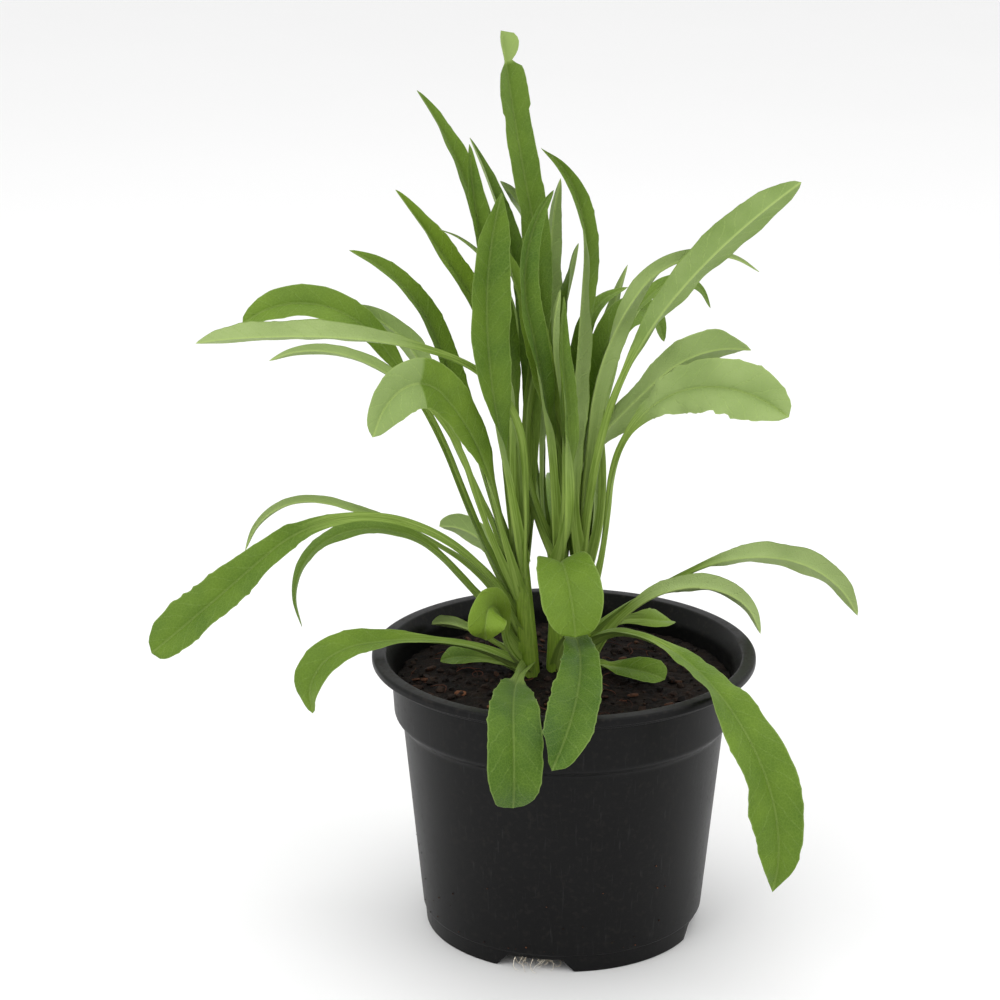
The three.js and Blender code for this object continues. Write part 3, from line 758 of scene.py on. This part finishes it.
def leaf_rows(node):
    """Midrib, right edge and left edge points of a leaf's cross-sections, from foot to tip."""
    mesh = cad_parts[node].data
    corners = np.array([vertex.co[:] for vertex in mesh.vertices])
    points, index = np.unique(np.round(corners, 6), axis=0, return_inverse=True)
    index = index.ravel()
    faces = [[int(index[i]) for i in polygon.vertices] for polygon in mesh.polygons]
    beside = [set() for _ in points]
    along_edge = {}
    for number, face in enumerate(faces):
        for a, b in zip(face, face[1:] + face[:1]):
            beside[a].add(b)
            beside[b].add(a)
            along_edge.setdefault(frozenset((a, b)), []).append(number)
    normals = np.array([np.cross(points[f[1]] - points[f[0]], points[f[2]] - points[f[0]])
                        for f in faces])
    normals /= np.linalg.norm(normals, axis=1)[:, None] + 1e-15

    def flat_patch(first):
        patch, edge = {first}, [first]
        while edge:
            face = faces[edge.pop()]
            for a, b in zip(face, face[1:] + face[:1]):
                for other in along_edge[frozenset((a, b))]:
                    if other not in patch and normals[other] @ normals[first] > 0.9999:
                        patch.add(other)
                        edge.append(other)
        return patch

    def layers(first):
        """Rings of corners, outward from the corners of an end face."""
        patch = flat_patch(first)
        ring = {i for number in patch for i in faces[number]}
        if len(ring) != 6:
            return None
        rings, seen = [], set(ring)
        while ring:
            rings.append(ring)
            ring = set().union(*(beside[i] for i in ring)) - seen
            seen |= ring
        return rings if all(len(ring) == 6 for ring in rings) else None

    rings = next(filter(None, (layers(number) for number in range(len(faces)))))
    level = {i: row for row, ring in enumerate(rings) for i in ring}
    ordered = []
    for row, ring in enumerate(rings):
        pairs = set()
        for face in faces:
            rows = {level[i] for i in face}
            here = [i for i in face if level[i] == row]
            if len(rows) == 2 and len(here) == 2:
                pairs.add(frozenset(here))
        walk = [min(ring)]
        while len(walk) < 6:
            walk.append(next(i for pair in sorted(map(sorted, pairs)) for i in pair
                             if walk[-1] in pair and i not in walk))
        loop = points[walk]
        if ordered:
            choices = [np.roll(way, shift, axis=0) for way in (loop, loop[::-1]) for shift in range(6)]
            loop = min(choices, key=lambda choice: np.linalg.norm(choice - ordered[-1], axis=1).sum())
        ordered.append(loop)
    loops = np.array(ordered)
    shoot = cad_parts["shoot_" + node.split("_")[1]].data
    stalk = np.array([vertex.co[:] for vertex in shoot.vertices])
    reach = [np.linalg.norm(stalk - loops[end].mean(axis=0), axis=1).min() for end in (0, -1)]
    if reach[0] > reach[1]:
        loops = loops[::-1]
    gaps = [np.linalg.norm(loops[:, i] - loops[:, i + 3], axis=1).mean() for i in range(3)]
    rib = int(np.argmin(gaps))
    loops = np.roll(loops, -rib, axis=1)
    middle = (loops[:, 0] + loops[:, 3]) / 2
    right = (loops[:, 1] + loops[:, 2]) / 2
    left = (loops[:, 4] + loops[:, 5]) / 2
    up = (right + left) / 2 - middle
    ahead = np.gradient(middle, axis=0)
    if (np.cross(right - left, up) * ahead).sum() < 0:
        right, left = left, right
    return middle / MM, right / MM, left / MM


def smooth_rows(values, times):
    """Values between rows, on a smooth curve through them."""
    values = np.asarray(values, float)
    padded = np.concatenate([[2 * values[0] - values[1]], values, [2 * values[-1] - values[-2]]])
    start = np.minimum(times.astype(int), len(values) - 2)
    t = (times - start).reshape(-1, *[1] * (values.ndim - 1))
    a, b, c, d = (padded[start + i] for i in range(4))
    return 0.5 * (2 * b + (c - a) * t + (2 * a - 5 * b + 4 * c - d) * t ** 2
                  + (3 * b - a - 3 * c + d) * t ** 3)


def unit(vectors):
    """The same directions with a length of one."""
    return vectors / (np.linalg.norm(vectors, axis=-1, keepdims=True) + 1e-12)


# Shares of the half width where a cross-section has its points, closer at the midrib and the edge.
ACROSS = np.array([0, 0.05, 0.12, 0.22, 0.36, 0.52, 0.68, 0.83, 0.94, 1.0])
ROWS_TO_SECTION = 7

# What sets a leaf apart. tone and pale are the tones of the upper face and the underside, from 0,
# dark, to 1, light; they are partly each leaf's own green and partly painted shade, darker on leaves
# that lie in shade. wave is how far the edge ripples in mm, teeth how far it juts out, arch how far
# each half bulges, fold how steeply the halves rise, and tip is from 0, pointed, to 1, round. From
# the share pale_from of its length, the face turned up is the pale one. A hood is a curled tip.
# A leaf that isn't listed, or a look that isn't given, takes the default.
LEAF_DEFAULT = {"tone": 0.34, "pale": 0.5, "wave": 0.8, "teeth": 0.3, "arch": 0.1, "fold": 0.1,
                "tip": 0.35, "pale_from": 2.0, "hood": False}
LEAF_LOOKS = {
    "leaf_left_broad_front": {"tone": 0.24, "wave": 1.2, "tip": 0.2, "fold": 0.2},
    "leaf_left_fold_left": {"tone": 0.42, "pale_from": 0.76, "wave": 1.0, "tip": 0.5},
    "leaf_left_front_drop": {"tone": 0.18, "wave": 1.4, "teeth": 0.6, "tip": 0.7},
    "leaf_left_level_left": {"pale": 0.72, "wave": 0.9, "fold": 0.25, "tip": 0.2},
    "leaf_left_long_low": {"tone": 0.27, "wave": 1.6, "teeth": 0.6, "tip": 0.9},
    "leaf_left_rim_left": {"tone": 0.34, "wave": 0.9, "tip": 0.3},
    "leaf_left_small_fold": {"tone": 0.7, "pale": 0.4, "wave": 1.0, "tip": 0.0},
    "leaf_left_spoon_left": {"tone": 0.36, "tip": 0.6, "wave": 1.0},
    "leaf_left_upper_left": {"tone": 0.8, "fold": 0.3},
    "leaf_left_top_left": {"tone": 0.42, "fold": 0.3, "wave": 1.2},
    "leaf_left_top_mid": {"tone": 0.3, "fold": 0.45},
    "leaf_left_dark_back": {"tone": 0.22, "fold": 0.4},
    "leaf_left_arch_left": {"tone": 0.45, "fold": 0.3},
    "leaf_left_pale_low": {"tone": 0.9, "pale_from": 0.0, "tip": 0.7},
    "leaf_middle_tallest": {"tone": 0.34, "wave": 1.1, "fold": 0.12, "hood": True},
    "leaf_middle_front_mid": {"tone": 0.17, "fold": 0.45},
    "leaf_middle_cross": {"tone": 0.5, "fold": 0.3},
    "leaf_middle_blunt": {"tone": 0.4, "tip": 0.7},
    "leaf_middle_curl_front": {"tone": 0.12, "wave": 2.0, "teeth": 0.7, "tip": 0.5, "fold": 0.2},
    "leaf_middle_round_front": {"tone": 0.48, "wave": 1.0, "tip": 0.9},
    "leaf_middle_slim_front": {"tone": 0.24, "fold": 0.45},
    "leaf_right_sickle": {"tone": 0.32, "fold": 0.5, "tip": 0.1},
    "leaf_right_long_right": {"pale": 0.42, "wave": 1.0, "fold": 0.2, "tip": 0.5},
    "leaf_right_ribbed": {"pale": 0.6, "fold": 0.6},
    "leaf_right_pair_upper": {"tone": 0.7, "pale_from": 0.0, "fold": 0.4, "wave": 1.4, "tip": 0.4},
    "leaf_right_pair_lower": {"tone": 0.6, "pale_from": 0.0, "wave": 3.0, "teeth": 0.9,
                              "arch": 0.25, "tip": 0.6},
    "leaf_right_long_drop": {"tone": 0.36, "wave": 2.6, "teeth": 0.5, "tip": 0.0},
    "leaf_right_arch_right": {"pale": 0.58, "wave": 1.0},
    "leaf_right_arch_low": {"pale": 0.66, "fold": 0.3},
    "leaf_right_soil_upper": {"tone": 0.6, "tip": 0.9},
    "leaf_right_soil_lower": {"tone": 0.3, "tip": 0.9},
}

# Sizes in mm: where the stalk clasps the shoot, where it widens to the blade, and the hooded tip.
FOOT_NEIGHBOURS, FOOT_DROP, FOOT_SINK, FOOT_RUN = 40, 5.0, 0.6, 26.0
CLASP_RUN, CLASP_HALF, CLASP_RISE = 34, 1.9, 0.6
STALK_EXTRA_HALF, STALK_HALF, BLADE_FROM_STALK = 0.7, 2.2, 3.0
HOOD_LENGTH, HOOD_HALF, NECK_HALF, SHOULDER_HALF = 13.0, 6.2, 2.8, 8.4
SHOULDER_RISE, SHOULDER_LENGTH = 4, 22
LEAST_HALF = 0.05
RIPPLE_LENGTH, TOOTH_LENGTH, WAVE_LENGTH = 11, 3.6, 15
GROOVE_HALF, GROOVE_DEPTH = 0.55, 0.25


def leaf_piece(node):
    """One closed leaf along the CAD leaf's own midrib and edges, with its rib, ripples and teeth."""
    looks = {**LEAF_DEFAULT, **LEAF_LOOKS.get(node, {})}
    rng = random.Random(node)
    middle, right, left = leaf_rows(node)
    last = len(middle) - 1
    times = np.linspace(0, last, last * ROWS_TO_SECTION + 1)
    half_rows = (np.linalg.norm(right - middle, axis=1) + np.linalg.norm(left - middle, axis=1)) / 2
    centre = smooth_rows(middle, times)
    right_way = unit(smooth_rows(unit(right - middle), times))
    left_way = unit(smooth_rows(unit(left - middle), times))
    half = smooth_rows(half_rows, times)
    walked = np.concatenate([[0], np.cumsum(np.linalg.norm(np.diff(centre, axis=0), axis=1))])
    length = walked[-1]

    # The foot runs down the shoot a little and sinks into it.
    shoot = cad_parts["shoot_" + node.split("_")[1]].data
    around_foot = np.array([vertex.co[:] for vertex in shoot.vertices]) / MM
    near = np.argsort(abs(around_foot[:, 2] - centre[0][2]))[:FOOT_NEIGHBOURS]
    inward = around_foot[near].mean(axis=0) - centre[0]
    inward[2] = -FOOT_DROP / FOOT_SINK
    sunk = np.clip(1 - walked / min(FOOT_RUN, 0.2 * length), 0, 1) ** 1.5
    centre = centre + sunk[:, None] * inward * FOOT_SINK
    ahead = unit(np.gradient(centre, axis=0))

    # The tip closes in the last section, from straight to round.
    closing = np.clip(times - (last - 1), 0, 1)
    round_end = np.sqrt(np.maximum(1 - closing ** 2, 0))
    closed = half_rows[-2] * ((1 - looks["tip"]) * (1 - closing) + looks["tip"] * round_end)
    half = np.where(closing > 0, closed, half)
    half = np.maximum(half, LEAST_HALF)
    share = walked / length
    to_tip = length - walked
    hooded = (to_tip < HOOD_LENGTH) & looks["hood"]
    if looks["hood"]:
        middle_of_hood = HOOD_LENGTH / 2
        off_middle = (to_tip - middle_of_hood) / middle_of_hood
        hood = HOOD_HALF * np.maximum(1 - off_middle ** 2, 0) ** 0.4
        spread = np.clip((to_tip - HOOD_LENGTH) / SHOULDER_RISE, 0, 1)
        shoulder = NECK_HALF + (SHOULDER_HALF - NECK_HALF) * spread
        half = np.where(hooded, np.maximum(hood, NECK_HALF * (to_tip > middle_of_hood)),
                        np.where(to_tip < HOOD_LENGTH + SHOULDER_LENGTH, shoulder, half))
        half = np.maximum(half, LEAST_HALF)
    blade = np.clip((half - STALK_HALF) / BLADE_FROM_STALK, 0, 1)
    stalk = (1 - blade) * np.clip((0.85 - share) / 0.3, 0, 1)
    clasp = np.clip(1 - walked / min(CLASP_RUN, 0.2 * length), 0, 1)
    half = half + CLASP_HALF * clasp + STALK_EXTRA_HALF * np.clip(1 - 1.8 * walked / length, 0, 1)

    ridge = np.interp(share, [0, 0.3, 0.7, 1], [1.6, 1.2, 0.6, 0.1]) * np.minimum(1, half / 1.2)
    ridge_width = np.interp(share, [0, 0.3, 0.7, 1], [1.5, 1.2, 0.7, 0.3])
    thick = np.interp(share, [0, 0.3, 1], [0.8, 0.5, 0.3])
    seeds = {1: rng.uniform(0, 50), -1: rng.uniform(0, 50)}
    points, values = [], {"out_mm": [], "along_mm": [], "under": [], "stalk": [], "tone": [],
                      "edge": []}
    columns = [(-1, u) for u in ACROSS[:0:-1]] + [(1, u) for u in ACROSS]
    ring = ([(side, u, 0) for side, u in columns]
            + [(side, u, 1) for side, u in reversed(columns) if u < 1])
    patch = rng.uniform(-0.08, 0.08)
    for row in range(len(times)):
        for side, u, under in ring:
            seed = seeds[side]
            way = right_way[row] if side > 0 else left_way[row]
            face = unit(np.cross(ahead[row], way) * side)
            ripple = noise.noise(Vector((walked[row] / RIPPLE_LENGTH, seed, 0)))
            tooth = noise.noise(Vector((walked[row] / TOOTH_LENGTH, seed, 7)))
            wide = half[row]
            wide += blade[row] * (looks["teeth"] * max(0, tooth * 2.2) + 0.35 * ripple)
            out = u * wide
            raised = looks["arch"] * wide * u * (1 - u) * 2 * blade[row]
            raised += blade[row] * looks["wave"] * u ** 1.6 * 1.8 * noise.noise(
                Vector((walked[row] / WAVE_LENGTH, seed, 3)))
            raised += out * (looks["fold"] + CLASP_RISE * clasp[row] + 0.35 * hooded[row] * u)
            body = thick[row] * (1 - 0.75 * u ** 3)
            if u == 1:
                body = 0
            if under:
                rib = math.exp(-(out / ridge_width[row]) ** 2)
                raised -= body / 2 + ridge[row] * rib * (1 - u ** 4)
            else:
                groove = GROOVE_DEPTH * math.exp(-(out / GROOVE_HALF) ** 2)
                raised += body / 2 - groove * min(1, wide / 2)
            points.append(centre[row] + way * out + face * raised)
            values["out_mm"].append(out)
            values["along_mm"].append(walked[row])
            turned = float(share[row] > looks["pale_from"])
            values["under"].append(max(under, turned, 0.6 * hooded[row]))
            values["edge"].append(u)
            values["stalk"].append(stalk[row])
            # The listed tone holds the leaf's own green together with painted shade.
            tone = looks["pale"] if under else looks["tone"] + 0.5 * hooded[row]
            values["tone"].append(min(max(tone + patch, 0), 1))
    add_piece(node.replace("leaf", "blade", 1), np.array(points) * MM, skin(len(ring), len(times)),
              LEAF_GREEN, [node], values, sharp=75)


for node in sorted(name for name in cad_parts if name.startswith("leaf_")):
    leaf_piece(node)


# ------------------------------------------------------------------------------------------------
# Root hairs that have grown out through the floor, pale and very fine. They hang in one notch of the
# foot ring, and a few specks of compost cling to the wall outside.

HAIR_BEARING = NOTCH_BEARING - math.pi / 2
HAIRS, SPECKS = 26, 34
WALL_FOOT, WALL_RISE = 8.5, POT_TOP - 39.5


def root_hairs():
    rng = random.Random(41)
    parts = []
    for _ in range(HAIRS):
        radius = rng.uniform(FOOT_R - 9, FOOT_R + 0.5)
        aside = rng.uniform(-9, 9)
        start = (radius * math.cos(HAIR_BEARING) - aside * math.sin(HAIR_BEARING),
                 radius * math.sin(HAIR_BEARING) + aside * math.cos(HAIR_BEARING), FLOOR_UNDER - 0.3)
        line = strand(rng, start, rng.uniform(7, 15), 0, 0.35)
        drop = rng.uniform(3.5, 6.2)
        line[:, 2] = start[2] - drop * np.linspace(0, 1, len(line)) ** 0.6
        line[:, :2] = start[:2] + 0.6 * (line[:, :2] - start[:2])
        radii = rng.uniform(0.09, 0.2) * np.linspace(1, 0.4, len(line))
        points, faces = tube(line, radii, 5)
        parts.append((points, faces, rng.random()))
    return gather(parts)


ROOT_HAIR = toned_material("root_hair", (0.5, 0.42, 0.3, 1), (0.8, 0.75, 0.63, 1), 1800.0, 0.6, 0.0001)
hair_points, hair_faces, hair_tones = root_hairs()
add_piece("root_hairs", hair_points, hair_faces, ROOT_HAIR, values=hair_tones)


def wall_specks():
    rng = random.Random(3)
    parts = []
    for _ in range(SPECKS):
        height = 10 + 60 * rng.random() ** 2.2
        bearing = HAIR_BEARING + math.radians(rng.uniform(-75, 60))
        radius = FOOT_R + 0.4 + (WALL_R - FOOT_R - 0.4) * (height - WALL_FOOT) / WALL_RISE + 0.1
        size = rng.uniform(0.18, 0.5)
        points, faces = lump(rng, size, 0.7)
        points += (radius * math.cos(bearing), radius * math.sin(bearing), height)
        parts.append((points, faces, rng.random() ** 2))
    return gather(parts)


speck_points, speck_faces, speck_tones = wall_specks()
add_piece("wall_specks", speck_points, speck_faces, BARK, values=speck_tones)


# ------------------------------------------------------------------------------------------------
# Studio: a plain pale floor, a bright surround and large soft lamps, with the camera in front.

FLOOR_REACH = 6.0
AIM = (0, 0, 0.2)
CAMERA_PLACE = (0.8286, -0.8685, 0.571)
CAMERA_TILT, CAMERA_HEADING = math.radians(72.67), math.radians(45)
LENS, SENSOR = 103.8, 36


def studio_floor():
    material, tree, shader = new_material("studio_floor")
    grain = use_group(tree, GRAIN, {"Patch Scale": 3.0, "Grain Scale": 400.0})
    tree.links.new(mix_colour(tree, grain["Patches"], (0.86, 0.86, 0.86, 1), (0.88, 0.88, 0.88, 1)),
                   shader.inputs["Base Color"])
    shader.inputs["Roughness"].default_value = 0.8
    mesh = bpy.data.meshes.new("studio_floor")
    corners = [(x * FLOOR_REACH, y * FLOOR_REACH, 0) for x, y in ((-1, -1), (1, -1), (1, 1), (-1, 1))]
    mesh.from_pydata(corners, [], [(0, 1, 2, 3)])
    mesh.materials.append(material)
    floor = bpy.data.objects.new("studio_floor", mesh)
    bpy.context.scene.collection.objects.link(floor)


def lamp(name, place, size, power):
    """A square soft lamp aimed at the plant."""
    data = bpy.data.lights.new(name, "AREA")
    data.size, data.energy = size, power
    made = bpy.data.objects.new(name, data)
    made.location = place
    made.rotation_euler = (Vector(AIM) - Vector(place)).to_track_quat("-Z", "Y").to_euler()
    bpy.context.scene.collection.objects.link(made)


studio_floor()
scene = bpy.context.scene
scene.view_settings.view_transform = "Standard"
surround = bpy.data.worlds.new("surround")
surround.use_nodes = True
white = surround.node_tree.nodes["Background"]
white.inputs["Color"].default_value = (1, 1, 1, 1)
white.inputs["Strength"].default_value = 1.0
scene.world = surround
lamp("key_lamp", (0.1, -1.6, 1.5), 1.0, 9)
lamp("fill_lamp", (1.5, 0.3, 1.1), 1.2, 4)
lamp("top_lamp", (-0.2, 0.3, 1.9), 1.4, 9)

camera = bpy.data.objects.new("camera", bpy.data.cameras.new("camera"))
camera.location = CAMERA_PLACE
camera.rotation_euler = (CAMERA_TILT, 0, CAMERA_HEADING)
camera.data.lens = LENS
camera.data.sensor_width = SENSOR
scene.collection.objects.link(camera)
scene.camera = camera
